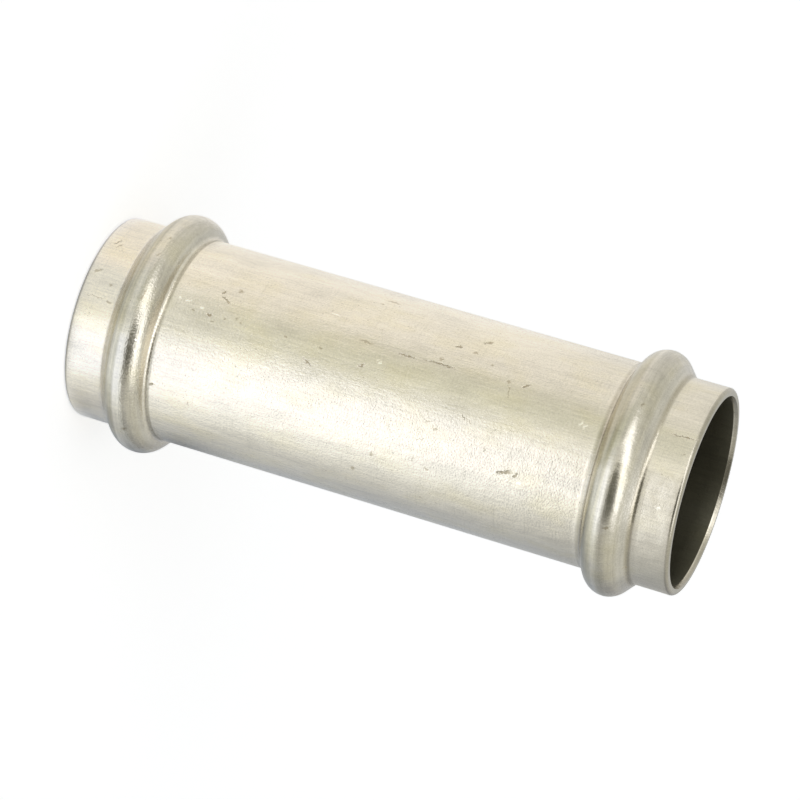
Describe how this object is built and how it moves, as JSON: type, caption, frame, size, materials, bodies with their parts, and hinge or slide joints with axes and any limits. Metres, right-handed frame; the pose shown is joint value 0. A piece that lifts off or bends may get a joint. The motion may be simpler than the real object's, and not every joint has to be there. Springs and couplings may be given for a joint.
{
  "type": "press slip coupling",
  "caption": "Straight open tube with a rolled seal bead near each mouth and no stop inside, slid over a joint between pipes and pressed tight.",
  "frame": {"origin": "centre of the lower mouth, on the plane that the coupling stands on", "axes": "+Z along the tube's axis, from the lower mouth to the upper one; the coupling is turned about it, so X and Y are alike"},
  "size_m": [0.0368, 0.0368, 0.095],
  "materials": {
    "stainless_steel": "satin, drawn and pickled, with a warm grey cast and fine handling scratches",
    "seal_rubber": "smooth moulded black rubber"
  },
  "bodies": {
    "root": {"coupling_body": "stainless_steel", "seal_ring_lower": "seal_rubber", "seal_ring_upper": "seal_rubber"}
  },
  "joints": []
}
